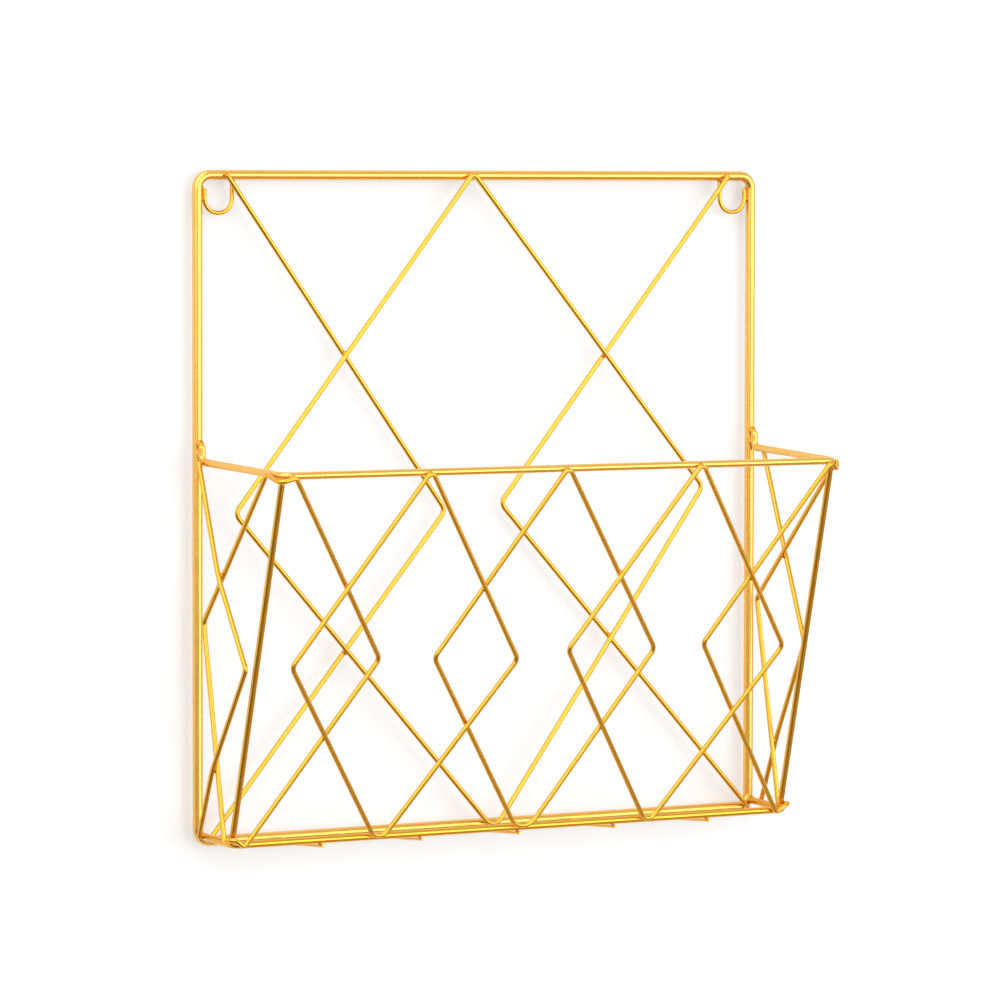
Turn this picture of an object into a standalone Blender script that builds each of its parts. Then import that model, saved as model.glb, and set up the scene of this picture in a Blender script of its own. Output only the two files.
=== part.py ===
"""Wall magazine rack bent and welded from gold-coloured steel wire.

Metres, +Z up. The wall is the plane Y = 0 and the rack stands out of it towards -Y. The origin lies on
the wall, behind the middle of the top bar. Left and right are as seen from the front.
"""
import math

import bmesh
import bpy
from mathutils import Vector

# Wire diameters
FRAME_WIRE = 0.0046
RIM_WIRE = 0.0034
FLOOR_BAR_WIRE = 0.0034
POST_WIRE = 0.0029
LATTICE_WIRE = 0.0023
LOOP_WIRE = 0.0020
FLOOR_WIRE = 0.0014

# Room left at every weld, so that wires lie against each other without merging
WELD_GAP = 0.0003

# Back frame, measured between the centres of its bars
FRAME_WIDTH = 0.297
FRAME_HEIGHT = 0.300
FRAME_BEND = 0.006

# Hanging loops in the top corners
LOOP_WIDTH = 0.014
LOOP_DROP = 0.017
LOOP_FLAT = 0.001

# Basket rim: heights are above the bottom bar, depths are in front of the back frame
RIM_HEIGHT = 0.1715
RIM_FRONT_HEIGHT = 0.1682
RIM_DEPTH = 0.0753
RIM_FRONT_WIDTH = 0.292
RIM_BEND = 0.004
RIM_TAB = 0.0075
RIM_TAB_BEND = 0.003

# Basket floor
FLOOR_HEIGHT = 0.003
FLOOR_FRONT_HEIGHT = 0.0015
FLOOR_DEPTH = 0.0324
FLOOR_BEND = 0.004
FLOOR_WIRE_COUNT = 5
FLOOR_WIRE_PITCH = 0.0518
FLOOR_WIRE_STUB = 0.0012
FLOOR_WIRE_REST = 0.001

# Bends of the lattice wires, and how far a cut end laps past the middle of the bar that carries it
TOP_BEND = 0.0022
BACK_FOOT_BEND = 0.0055
WAIST_BEND = 0.004
CORNER_LEG_BEND = 0.0015
KNEE_BEND = 0.06
END_LAP = 0.0003

# Back lattice: places across the panel from its middle, heights up from the bottom bar
BACK_DIAMOND_TOP = -0.0067
BACK_DIAMOND_FOOT = 0.0050
BACK_DIAMOND_WAIST = {"left": -0.1328, "right": 0.1179}
BACK_DIAMOND_WAIST_HEIGHT = {"left": 0.1477, "right": 0.1537}
BACK_CHEVRON_TOP_INSET = {"left": 0.0130, "right": 0.0148}
BACK_CHEVRON_FOOT_INSET = {"left": 0.0029, "right": 0.0021}
BACK_CHEVRON_REACH = {"left": 0.1284, "right": 0.1390}
BACK_CHEVRON_WAIST_HEIGHT = {"left": 0.1459, "right": 0.1485}

# Front lattice: the diamonds were set by hand, so each is a little off its even place
DIAMOND_PITCH = 0.0715
DIAMOND_HALF_SPAN = 0.0589
FRONT_WAIST_HEIGHT = 0.0855
DIAMOND_BAY = {"left": -1, "middle": 0, "right": 1}
DIAMOND_SHIFT = {
    "left": {"top": -0.0010, "foot": -0.0035, "left": -0.0023, "right": -0.0030},
    "middle": {"top": -0.0010, "foot": 0.0012, "left": 0.0019, "right": 0.0018},
    "right": {"top": -0.0006, "foot": -0.0024, "left": -0.0019, "right": -0.0017},
}
DIAMOND_WAIST_LIFT = {
    "left": {"left": -0.0007, "right": -0.0017},
    "middle": {"left": -0.0009, "right": -0.0013},
    "right": {"left": 0.0016, "right": -0.0013},
}
DIAMOND_FOOT_LIFT = 0.0012
DIAMOND_FOOT_BEND = {"left": 0.0055, "middle": 0.008, "right": 0.0045}

# Corner diamonds, folded round the basket: insets are from the rim's and the floor's corners
CORNER_TOP_INSET = {"left": 0.0047, "right": 0.0043}
CORNER_FOOT_INSET = {"left": 0.0036, "right": 0.0067}
CORNER_REACH = {"left": 0.0605, "right": 0.0590}
CORNER_SIDE_TOP_INSET = {"left": 0.0092, "right": 0.0034}
CORNER_SIDE_FOOT_INSET = {"left": 0.003, "right": 0.0101}
CORNER_SIDE_REACH = {"left": 0.0672, "right": 0.0704}
CORNER_SIDE_WAIST_HEIGHT = {"left": 0.0998, "right": 0.0998}
CORNER_SIDE_TUCK = 0.0018
FOLD_TILT = {
    "left": {"top": math.radians(40), "foot": math.radians(68)},
    "right": {"top": math.radians(72), "foot": math.radians(68)},
}
FOLD_BEND = {
    "left": {"top": 0.0035, "foot": 0.003},
    "right": {"top": 0.0032, "foot": 0.004},
}

# Corner posts: insets are from the rim's and the floor's corners, the tuck is in from the bars' middles
POST_TOP_INSET = {"left": 0.0021, "right": 0.0011}
POST_FOOT_INSET = {"left": 0.0036, "right": 0.0023}
POST_TUCK = 0.001

# Half diamonds at the rear of the sides, measured forward from the rim's tabs
SIDE_CHEVRON_TOP = 0.0025
SIDE_CHEVRON_FOOT = 0.0022
SIDE_CHEVRON_WAIST = {"left": 0.0440, "right": 0.0405}
SIDE_CHEVRON_WAIST_HEIGHT = 0.0813
SIDE_CHEVRON_BOW = {
    "left": {"top": 0.0035, "foot": 0.0019},
    "right": {"top": 0.0024, "foot": 0.0074},
}

# Facets round a wire, and the turn that one facet along a bend takes
FRAME_SIDES = 12
BAR_SIDES = 10
LATTICE_SIDES = 8
BEND_STEP = math.radians(18)
SHARP_EDGE = math.radians(60)

GOLD = (0.76, 0.44, 0.11, 1.0)
GOLD_ROUGHNESS = 0.28

# Places that follow from the sizes above
SIDES = {"left": -1, "right": 1}
UP = Vector((0, 0, 1))
FORWARD = Vector((0, -1, 0))
FRAME_Y = -FRAME_WIRE / 2 * math.cos(math.pi / FRAME_SIDES)
BOTTOM_Z = -FRAME_HEIGHT
HALF_WIDTH = FRAME_WIDTH / 2
BUTT_STANDOFF = FRAME_WIRE / 2 + WELD_GAP
TAB_STANDOFF = BUTT_STANDOFF + RIM_WIRE / 2
BACK_LAYER = BUTT_STANDOFF + LATTICE_WIRE / 2
BASKET_LAYER = max(RIM_WIRE, FLOOR_BAR_WIRE) / 2 + WELD_GAP + LATTICE_WIRE / 2
RIM_FRONT_CORNER = Vector((RIM_FRONT_WIDTH / 2, FRAME_Y - RIM_DEPTH, BOTTOM_Z + RIM_FRONT_HEIGHT))
SIDE_TAPER = (HALF_WIDTH - RIM_FRONT_WIDTH / 2) / (RIM_DEPTH - TAB_STANDOFF)
FLOOR_HALF_WIDTH = HALF_WIDTH - SIDE_TAPER * (FLOOR_DEPTH - TAB_STANDOFF)
FLOOR_FRONT_CORNER = Vector((FLOOR_HALF_WIDTH, FRAME_Y - FLOOR_DEPTH, BOTTOM_Z + FLOOR_FRONT_HEIGHT))
FRONT_RISE = Vector((0, FLOOR_DEPTH - RIM_DEPTH, RIM_FRONT_HEIGHT - FLOOR_FRONT_HEIGHT))
FRONT_HEIGHT = FRONT_RISE.length
FRONT_UP = FRONT_RISE.normalized()
FRONT_OUT = Vector((1, 0, 0)).cross(FRONT_UP)
SIDE_BACK = Vector((HALF_WIDTH, FRAME_Y - TAB_STANDOFF, BOTTOM_Z))
SIDE_FORWARD = Vector((-SIDE_TAPER, -1, 0)).normalized()
SIDE_OUT = UP.cross(SIDE_FORWARD)
RIM_RUN = (RIM_DEPTH - TAB_STANDOFF) * math.hypot(1, SIDE_TAPER)
FLOOR_RUN = (FLOOR_DEPTH - TAB_STANDOFF) * math.hypot(1, SIDE_TAPER)


def mirrored(point, side):
    """The point on the wanted side of the rack, from its place on the right."""
    return Vector((point[0] * SIDES[side], point[1], point[2]))


def rounded(corners, bends, closed=False):
    """The corners of a wire's centre line, each replaced by an arc of its own bend radius."""
    points = []
    for index, corner in enumerate(corners):
        if not closed and index in (0, len(corners) - 1):
            points.append(Vector(corner))
            continue
        corner = Vector(corner)
        back = (Vector(corners[index - 1]) - corner).normalized()
        ahead = (Vector(corners[(index + 1) % len(corners)]) - corner).normalized()
        turn = math.pi - back.angle(ahead)
        inward = (back + ahead).normalized()
        centre = corner + inward * bends[index] / math.cos(turn / 2)
        axis = ahead.cross(back).normalized()
        spoke = corner + back * bends[index] * math.tan(turn / 2) - centre
        steps = max(2, math.ceil(turn / BEND_STEP))
        for step in range(steps + 1):
            angle = turn * step / steps
            points.append(centre + spoke * math.cos(angle) + axis.cross(spoke) * math.sin(angle))
    return points


def tangents(points, closed):
    """The direction of the wire at each point of its centre line."""
    last = len(points) - 1
    found = []
    for index, point in enumerate(points):
        before = points[index - 1] if closed or index > 0 else point
        after = points[(index + 1) % len(points)] if closed or index < last else point
        arriving = (point - before).normalized()
        leaving = (after - point).normalized()
        found.append((arriving + leaving).normalized())
    return found


def section_axes(directions, facing, closed):
    """One axis across the wire at each point, carried along without twist and closed evenly on a loop."""
    axis = (facing - directions[0] * facing.dot(directions[0])).normalized()
    axes = [axis]
    for before, after in zip(directions, directions[1:]):
        axis = before.rotation_difference(after) @ axis
        axis = (axis - after * axis.dot(after)).normalized()
        axes.append(axis)
    if not closed:
        return axes
    arriving = directions[-1].rotation_difference(directions[0]) @ axis
    side = directions[0].cross(arriving)
    twist = math.atan2(axes[0].dot(side), axes[0].dot(arriving))
    count = len(axes)
    return [
        axis * math.cos(twist * index / count) + direction.cross(axis) * math.sin(twist * index / count)
        for index, (axis, direction) in enumerate(zip(axes, directions))
    ]


def gold_finish(name):
    """Bright gold plating on steel wire."""
    material = bpy.data.materials.new(name + "_gold")
    material.use_nodes = True
    shader = material.node_tree.nodes["Principled BSDF"]
    shader.inputs["Base Color"].default_value = GOLD
    shader.inputs["Metallic"].default_value = 1.0
    shader.inputs["Roughness"].default_value = GOLD_ROUGHNESS
    return material


def wire(name, points, diameter, sides, facing, closed=False):
    """A round wire along the points, with a flat facet turned to the facing direction."""
    directions = tangents(points, closed)
    shape = bmesh.new()
    rings = []
    for point, direction, axis in zip(points, directions, section_axes(directions, facing, closed)):
        across = direction.cross(axis)
        ring = []
        for side in range(sides):
            angle = (side + 0.5) * 2 * math.pi / sides
            spoke = axis * math.cos(angle) + across * math.sin(angle)
            ring.append(shape.verts.new(point + spoke * diameter / 2))
        rings.append(ring)
    following = rings[1:] + rings[:1] if closed else rings[1:]
    for ring, after in zip(rings, following):
        for side in range(sides):
            beside = (side + 1) % sides
            shape.faces.new((ring[side], ring[beside], after[beside], after[side]))
    if not closed:
        shape.faces.new(reversed(rings[0]))
        shape.faces.new(rings[-1])
    mesh = bpy.data.meshes.new(name)
    shape.to_mesh(mesh)
    shape.free()
    mesh.shade_smooth()
    mesh.set_sharp_from_angle(angle=SHARP_EDGE)
    mesh.materials.append(gold_finish(name))
    bpy.context.scene.collection.objects.link(bpy.data.objects.new(name, mesh))


def crown(bend, run, rise):
    """How far a bend's sharp corner stands beyond its round top, for legs that go out by run over rise."""
    return bend * (math.hypot(run, rise) / abs(run) - 1)


def crossing_shares(start_a, end_a, start_b, end_b):
    """The shares of their lengths at which two straight legs of one panel cross."""
    leg_a, leg_b, apart = end_a - start_a, end_b - start_b, start_b - start_a
    spread = leg_a.cross(leg_b)
    return apart.cross(leg_b) / spread, apart.cross(leg_a) / spread


def layer_step(crossings):
    """How far two waists stand off the middle layer, one each way, so that wires which cross just touch."""
    return max((LATTICE_WIRE + WELD_GAP) / sum(crossing_shares(*legs)) for legs in crossings)


def back_point(across, up, out):
    """A point of the back panel: up from the bottom bar, and out in front of the frame's middle."""
    return Vector((across, FRAME_Y - out, BOTTOM_Z + up))


def front_point(across, up, out):
    """A point of the leaning front: up from the floor bar, and out in front of the bars' middles."""
    foot = Vector((across, FLOOR_FRONT_CORNER.y, FLOOR_FRONT_CORNER.z))
    return foot + FRONT_UP * up + FRONT_OUT * out


def side_point(side, along, up, out):
    """A point of a side: along from the rim's tab, up from the bottom bar, out past the bars' middles."""
    return mirrored(SIDE_BACK + SIDE_FORWARD * along + UP * up + SIDE_OUT * out, side)


def rim_height(along):
    """Height of the rim's side bar above the bottom bar."""
    return RIM_HEIGHT + (RIM_FRONT_HEIGHT - RIM_HEIGHT) * along / RIM_RUN


def floor_height(along):
    """Height of the floor's side bar above the bottom bar."""
    return FLOOR_HEIGHT + (FLOOR_FRONT_HEIGHT - FLOOR_HEIGHT) * along / FLOOR_RUN


def make_back_frame():
    """The rectangle that lies against the wall, a flat facet of its wire on the wall all round."""
    corners = [
        back_point(-HALF_WIDTH, 0, 0),
        back_point(HALF_WIDTH, 0, 0),
        back_point(HALF_WIDTH, FRAME_HEIGHT, 0),
        back_point(-HALF_WIDTH, FRAME_HEIGHT, 0),
    ]
    path = rounded(corners, [FRAME_BEND] * len(corners), True)
    wire("back_frame", path, FRAME_WIRE, FRAME_SIDES, -FORWARD, True)


def make_hanging_loop(side):
    """A small U in a top corner, welded to the upright and to the underside of the top bar."""
    outer = HALF_WIDTH - BUTT_STANDOFF - LOOP_WIRE / 2
    inner = outer - LOOP_WIDTH
    low = FRAME_HEIGHT - LOOP_DROP
    corners = [
        back_point(outer, FRAME_HEIGHT - FRAME_BEND, 0),
        back_point(outer, low, 0),
        back_point(inner, low, 0),
        back_point(inner, FRAME_HEIGHT - BUTT_STANDOFF, 0),
    ]
    bend = (LOOP_WIDTH - LOOP_FLAT) / 2
    path = [mirrored(point, side) for point in rounded(corners, [0, bend, bend, 0])]
    wire("hanging_loop_" + side, path, LOOP_WIRE, LATTICE_SIDES, FORWARD)


def back_diamond_flat():
    """The diamond's sharp corners across and up the back panel."""
    half_span = (BACK_DIAMOND_WAIST["right"] - BACK_DIAMOND_WAIST["left"]) / 2
    height = sum(BACK_DIAMOND_WAIST_HEIGHT.values()) / 2
    flat = {side: Vector((BACK_DIAMOND_WAIST[side], BACK_DIAMOND_WAIST_HEIGHT[side])) for side in SIDES}
    rise = crown(TOP_BEND, half_span, FRAME_HEIGHT - height)
    flat["top"] = Vector((BACK_DIAMOND_TOP, FRAME_HEIGHT + rise))
    flat["foot"] = Vector((BACK_DIAMOND_FOOT, -crown(BACK_FOOT_BEND, half_span, height)))
    return flat


def back_chevron_flat(side):
    """A chevron's ends and waist across and up the back panel."""
    top = HALF_WIDTH - BACK_CHEVRON_TOP_INSET[side]
    waist = HALF_WIDTH - BACK_CHEVRON_REACH[side]
    foot = HALF_WIDTH - BACK_CHEVRON_FOOT_INSET[side]
    return {
        "top": Vector((SIDES[side] * top, FRAME_HEIGHT + END_LAP)),
        "waist": Vector((SIDES[side] * waist, BACK_CHEVRON_WAIST_HEIGHT[side])),
        "foot": Vector((SIDES[side] * foot, -END_LAP)),
    }


def back_crossings():
    """Every pair of back legs that cross, each from its bar to its waist."""
    diamond = back_diamond_flat()
    chevrons = {side: back_chevron_flat(side) for side in SIDES}
    return [(chevrons[side][end], chevrons[side]["waist"], diamond[end], diamond[side])
            for side in SIDES for end in ("top", "foot")]


def make_back_diamond(step):
    """A closed diamond that passes in front of both chevrons, its waists a step ahead of the bars' layer."""
    flat = back_diamond_flat()
    corners = [
        back_point(*flat["top"], BACK_LAYER),
        back_point(*flat["left"], BACK_LAYER + step),
        back_point(*flat["foot"], BACK_LAYER),
        back_point(*flat["right"], BACK_LAYER + step),
    ]
    path = rounded(corners, [TOP_BEND, WAIST_BEND, BACK_FOOT_BEND, WAIST_BEND], True)
    wire("back_diamond", path, LATTICE_WIRE, LATTICE_SIDES, FORWARD, True)


def make_back_chevron(side, step):
    """A half diamond, its waist a step behind the bars' layer."""
    flat = back_chevron_flat(side)
    corners = [
        back_point(*flat["top"], BACK_LAYER),
        back_point(*flat["waist"], BACK_LAYER - step),
        back_point(*flat["foot"], BACK_LAYER),
    ]
    path = rounded(corners, [0, WAIST_BEND, 0])
    wire("back_chevron_" + side, path, LATTICE_WIRE, LATTICE_SIDES, FORWARD)


def make_rim():
    """A U round the top of the basket, its ends turned up along the fronts of the uprights."""
    right = [
        RIM_FRONT_CORNER,
        side_point("right", 0, RIM_HEIGHT, 0),
        side_point("right", 0, RIM_HEIGHT + RIM_TAB, 0),
    ]
    corners = [mirrored(point, "left") for point in reversed(right)] + right
    path = rounded(corners, [0, RIM_TAB_BEND, RIM_BEND, RIM_BEND, RIM_TAB_BEND, 0])
    wire("basket_rim", path, RIM_WIRE, BAR_SIDES, FORWARD)


def make_floor_bar():
    """A U round the floor of the basket, its cut ends against the fronts of the uprights."""
    right = [FLOOR_FRONT_CORNER, side_point("right", BUTT_STANDOFF - TAB_STANDOFF, FLOOR_HEIGHT, 0)]
    corners = [mirrored(point, "left") for point in reversed(right)] + right
    path = rounded(corners, [0, FLOOR_BEND, FLOOR_BEND, 0])
    wire("floor_bar", path, FLOOR_BAR_WIRE, BAR_SIDES, UP)


def make_floor_wire(number):
    """A short wire under the floor, welded to the front of the floor bar and to the bottom bar."""
    across = (number - (FLOOR_WIRE_COUNT + 1) / 2) * FLOOR_WIRE_PITCH
    back = back_point(across, -(FRAME_WIRE + FLOOR_WIRE) / 2 - WELD_GAP, 0)
    front_drop = (FLOOR_BAR_WIRE + FLOOR_WIRE) / 2 + WELD_GAP
    front = Vector((across, FLOOR_FRONT_CORNER.y, FLOOR_FRONT_CORNER.z - front_drop))
    run = (front - back).normalized()
    ends = [front + run * (FLOOR_BAR_WIRE / 2 + FLOOR_WIRE_STUB), back - run * FLOOR_WIRE_REST]
    wire(f"floor_wire_{number}", ends, FLOOR_WIRE, LATTICE_SIDES, UP)


def diamond_flat(name):
    """A front diamond's sharp corners across and up the front panel."""
    shift, lift = DIAMOND_SHIFT[name], DIAMOND_WAIST_LIFT[name]
    even = DIAMOND_BAY[name] * DIAMOND_PITCH
    top = FRONT_HEIGHT + crown(TOP_BEND, DIAMOND_HALF_SPAN, FRONT_HEIGHT - FRONT_WAIST_HEIGHT)
    foot = DIAMOND_FOOT_LIFT - crown(DIAMOND_FOOT_BEND[name], DIAMOND_HALF_SPAN, FRONT_WAIST_HEIGHT)
    flat = {"top": Vector((even + shift["top"], top)), "foot": Vector((even + shift["foot"], foot))}
    for side, sign in SIDES.items():
        across = even + sign * DIAMOND_HALF_SPAN + shift[side]
        flat[side] = Vector((across, FRONT_WAIST_HEIGHT + lift[side]))
    return flat


def corner_front_flat(side):
    """The sharp corners of a corner diamond's front half, across and up the front panel."""
    top = RIM_FRONT_WIDTH / 2 - CORNER_TOP_INSET[side]
    waist = RIM_FRONT_WIDTH / 2 - CORNER_REACH[side]
    foot = FLOOR_HALF_WIDTH - CORNER_FOOT_INSET[side]
    return {
        "top": Vector((SIDES[side] * top, FRONT_HEIGHT)),
        "waist": Vector((SIDES[side] * waist, FRONT_WAIST_HEIGHT)),
        "foot": Vector((SIDES[side] * foot, 0)),
    }


def corner_side_flat(side):
    """The sharp corners of a corner diamond's side half, along and up the side panel."""
    top = RIM_RUN - CORNER_SIDE_TOP_INSET[side]
    foot = FLOOR_RUN - CORNER_SIDE_FOOT_INSET[side]
    return {
        "top": Vector((top, rim_height(top))),
        "waist": Vector((RIM_RUN - CORNER_SIDE_REACH[side], CORNER_SIDE_WAIST_HEIGHT[side])),
        "foot": Vector((foot, floor_height(foot))),
    }


def front_crossings():
    """Every pair of front legs that cross, each from its bar to its waist."""
    left, middle, right = (diamond_flat(name) for name in DIAMOND_SHIFT)
    outer = {side: corner_front_flat(side) for side in SIDES}
    pairs = []
    for end in ("top", "foot"):
        pairs.append((outer["left"][end], outer["left"]["waist"], left[end], left["left"]))
        pairs.append((left[end], left["right"], middle[end], middle["left"]))
        pairs.append((middle[end], middle["right"], right[end], right["left"]))
        pairs.append((right[end], right["right"], outer["right"][end], outer["right"]["waist"]))
    return pairs


def make_front_diamond(name, step):
    """A closed diamond: the outer two pass in front of their neighbours, the middle one behind."""
    flat = diamond_flat(name)
    waist_layer = BASKET_LAYER + (step if DIAMOND_BAY[name] else -step)
    foot_layer = math.sqrt(BASKET_LAYER ** 2 - DIAMOND_FOOT_LIFT ** 2)
    corners = [
        front_point(*flat["top"], BASKET_LAYER),
        front_point(*flat["left"], waist_layer),
        front_point(*flat["foot"], foot_layer),
        front_point(*flat["right"], waist_layer),
    ]
    path = rounded(corners, [TOP_BEND, WAIST_BEND, DIAMOND_FOOT_BEND[name], WAIST_BEND], True)
    wire("front_diamond_" + name, path, LATTICE_WIRE, LATTICE_SIDES, FORWARD, True)


def fold_point(side, end):
    """The sharp tip of a corner diamond's fold: out past the bar's corner, and tilted in between the bars.

    Its reach keeps the runs up to it clear of the bar.
    """
    tilt = FOLD_TILT[side][end]
    reach = BASKET_LAYER * (math.sqrt(math.cos(tilt) ** 2 + 3) - math.cos(tilt))
    past_corner = (FRONT_OUT + SIDE_OUT) * reach * math.cos(tilt)
    dip = FRONT_UP * reach * math.sin(tilt)
    tip = RIM_FRONT_CORNER - dip if end == "top" else FLOOR_FRONT_CORNER + dip
    return mirrored(tip + past_corner, side)


def make_corner_diamond(side, step):
    """A closed diamond folded round a post, behind the wires that it crosses.

    Its legs lie against the outer sides of the rim and the floor bar, and its folds between the bars.
    """
    front, flank = corner_front_flat(side), corner_side_flat(side)
    corners = [
        front_point(*front["top"], BASKET_LAYER),
        front_point(*front["waist"], BASKET_LAYER - step),
        front_point(*front["foot"], BASKET_LAYER),
        fold_point(side, "foot"),
        side_point(side, *flank["foot"], BASKET_LAYER),
        side_point(side, *flank["waist"], BASKET_LAYER - CORNER_SIDE_TUCK),
        side_point(side, *flank["top"], BASKET_LAYER),
        fold_point(side, "top"),
    ]
    legs = [CORNER_LEG_BEND, WAIST_BEND, CORNER_LEG_BEND]
    path = rounded(corners, [*legs, FOLD_BEND[side]["foot"], *legs, FOLD_BEND[side]["top"]], True)
    wire("corner_diamond_" + side, path, LATTICE_WIRE, LATTICE_SIDES, FORWARD, True)


def make_corner_post(side):
    """A strut from the floor bar's corner to the rim's corner."""
    top = RIM_RUN - POST_TOP_INSET[side]
    foot = FLOOR_RUN - POST_FOOT_INSET[side]
    top_end = side_point(side, top, rim_height(top), -POST_TUCK)
    foot_end = side_point(side, foot, floor_height(foot), -POST_TUCK)
    lean = (top_end - foot_end).normalized()
    cut_rise = POST_WIRE / 2 * math.hypot(lean.x, lean.y)
    top_end -= lean * (RIM_WIRE / 2 + WELD_GAP + cut_rise) / lean.z
    foot_end += lean * (FLOOR_BAR_WIRE / 2 + WELD_GAP + cut_rise) / lean.z
    facing = mirrored(SIDE_OUT, side)
    wire("corner_post_" + side, [foot_end, top_end], POST_WIRE, LATTICE_SIDES, facing)


def make_side_chevron(side):
    """A half diamond at the rear of a side, with a knee over the corner diamond at each crossing."""
    under = corner_side_flat(side)
    flat = {
        "top": Vector((SIDE_CHEVRON_TOP, rim_height(SIDE_CHEVRON_TOP) + END_LAP)),
        "waist": Vector((SIDE_CHEVRON_WAIST[side], SIDE_CHEVRON_WAIST_HEIGHT)),
        "foot": Vector((SIDE_CHEVRON_FOOT, floor_height(SIDE_CHEVRON_FOOT) - END_LAP)),
    }
    knees = {}
    for end in ("top", "foot"):
        straight = crossing_shares(flat[end], flat["waist"], under[end], under["waist"])[1]
        bow = SIDE_CHEVRON_BOW[side][end] / (under["waist"] - under[end]).length
        crossing = under[end].lerp(under["waist"], straight + bow)
        out = BASKET_LAYER - CORNER_SIDE_TUCK * (straight + bow) + LATTICE_WIRE + WELD_GAP
        knees[end] = side_point(side, *crossing, out)
    corners = [
        side_point(side, *flat["top"], BASKET_LAYER),
        knees["top"],
        side_point(side, *flat["waist"], BASKET_LAYER),
        knees["foot"],
        side_point(side, *flat["foot"], BASKET_LAYER),
    ]
    path = rounded(corners, [0, KNEE_BEND, WAIST_BEND, KNEE_BEND, 0])
    wire("side_chevron_" + side, path, LATTICE_WIRE, LATTICE_SIDES, mirrored(SIDE_OUT, side))


def main():
    for item in list(bpy.data.objects):
        bpy.data.objects.remove(item, do_unlink=True)
    back_step = layer_step(back_crossings())
    front_step = layer_step(front_crossings())
    make_back_frame()
    make_back_diamond(back_step)
    make_rim()
    make_floor_bar()
    for side in SIDES:
        make_back_chevron(side, back_step)
        make_hanging_loop(side)
        make_corner_post(side)
        make_corner_diamond(side, front_step)
        make_side_chevron(side)
    for name in DIAMOND_SHIFT:
        make_front_diamond(name, front_step)
    for number in range(1, FLOOR_WIRE_COUNT + 1):
        make_floor_wire(number)


main()
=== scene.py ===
"""Looks of the wall magazine rack: round gold-plated wires, their welds, the wall, the light and the view.

Metres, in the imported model's frame: the wall is the plane Y = 0, the rack stands out of it towards -Y, and
the origin lies on the wall behind the middle of the top bar. Left and right are as seen from the front.
"""
import math

import bpy
from mathutils import Matrix, Vector
from mathutils.kdtree import KDTree


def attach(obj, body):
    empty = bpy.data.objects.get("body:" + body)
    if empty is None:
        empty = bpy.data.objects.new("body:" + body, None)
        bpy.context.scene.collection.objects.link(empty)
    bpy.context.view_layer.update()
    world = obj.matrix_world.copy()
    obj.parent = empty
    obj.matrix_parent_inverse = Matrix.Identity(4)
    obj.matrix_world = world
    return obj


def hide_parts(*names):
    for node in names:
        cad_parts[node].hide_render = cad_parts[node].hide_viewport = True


# Wire diameters, and the room that the solids leave at a weld
FRAME_WIRE = 0.0046
BAR_WIRE = 0.0034
POST_WIRE = 0.0029
LATTICE_WIRE = 0.0023
LOOP_WIRE = 0.0020
FLOOR_WIRE = 0.0014
WELD_GAP = 0.0003

# Back frame and its hanging loops. The solid frame has flat sides, and one of them lies on the wall
FRAME_WIDTH = 0.297
FRAME_HEIGHT = 0.300
FRAME_BEND = 0.006
FRAME_SIDES = 12
LOOP_WIDTH = 0.014
LOOP_DROP = 0.017
LOOP_FLAT = 0.001

# Basket: heights above the bottom bar, depths in front of the back frame
RIM_HEIGHT = 0.1715
RIM_FRONT_HEIGHT = 0.1682
RIM_DEPTH = 0.0753
RIM_FRONT_WIDTH = 0.292
RIM_TAB = 0.0075
RIM_TAB_BEND = 0.003
BAR_BEND = 0.004
FLOOR_HEIGHT = 0.003
FLOOR_FRONT_HEIGHT = 0.0015
FLOOR_DEPTH = 0.0324
FLOOR_WIRE_COUNT = 5
FLOOR_WIRE_PITCH = 0.0518
FLOOR_WIRE_STUB = 0.0012
FLOOR_WIRE_REST = 0.001

# Bends of the lattice wires, and the lap of a cut end past the middle of its bar
TOP_BEND = 0.0022
BACK_FOOT_BEND = 0.0055
WAIST_BEND = 0.004
CORNER_LEG_BEND = 0.0015
KNEE_BEND = 0.06
END_LAP = 0.0003

# Back lattice: places from the panel's middle, insets from the uprights, heights above the bottom bar
BACK_DIAMOND_TOP = -0.0067
BACK_DIAMOND_FOOT = 0.0050
BACK_DIAMOND_WAIST = {"left": (-0.1328, 0.1477), "right": (0.1179, 0.1537)}
BACK_CHEVRON = {
    "left": {"top": 0.0130, "waist": 0.1284, "waist_height": 0.1459, "foot": 0.0029},
    "right": {"top": 0.0148, "waist": 0.1390, "waist_height": 0.1485, "foot": 0.0021},
}

# Front lattice, set by hand and so a little off its even places
DIAMOND_PITCH = 0.0715
DIAMOND_HALF_SPAN = 0.0589
FRONT_WAIST_HEIGHT = 0.0855
DIAMOND_FOOT_LIFT = 0.0012
DIAMOND_BAY = {"left": -1, "middle": 0, "right": 1}
DIAMOND_FOOT_BEND = {"left": 0.0055, "middle": 0.008, "right": 0.0045}
DIAMOND_SHIFT = {
    "left": {"top": -0.0010, "foot": -0.0035, "left": -0.0023, "right": -0.0030},
    "middle": {"top": -0.0010, "foot": 0.0012, "left": 0.0019, "right": 0.0018},
    "right": {"top": -0.0006, "foot": -0.0024, "left": -0.0019, "right": -0.0017},
}
DIAMOND_WAIST_LIFT = {
    "left": {"left": -0.0007, "right": -0.0017},
    "middle": {"left": -0.0009, "right": -0.0013},
    "right": {"left": 0.0016, "right": -0.0013},
}

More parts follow.
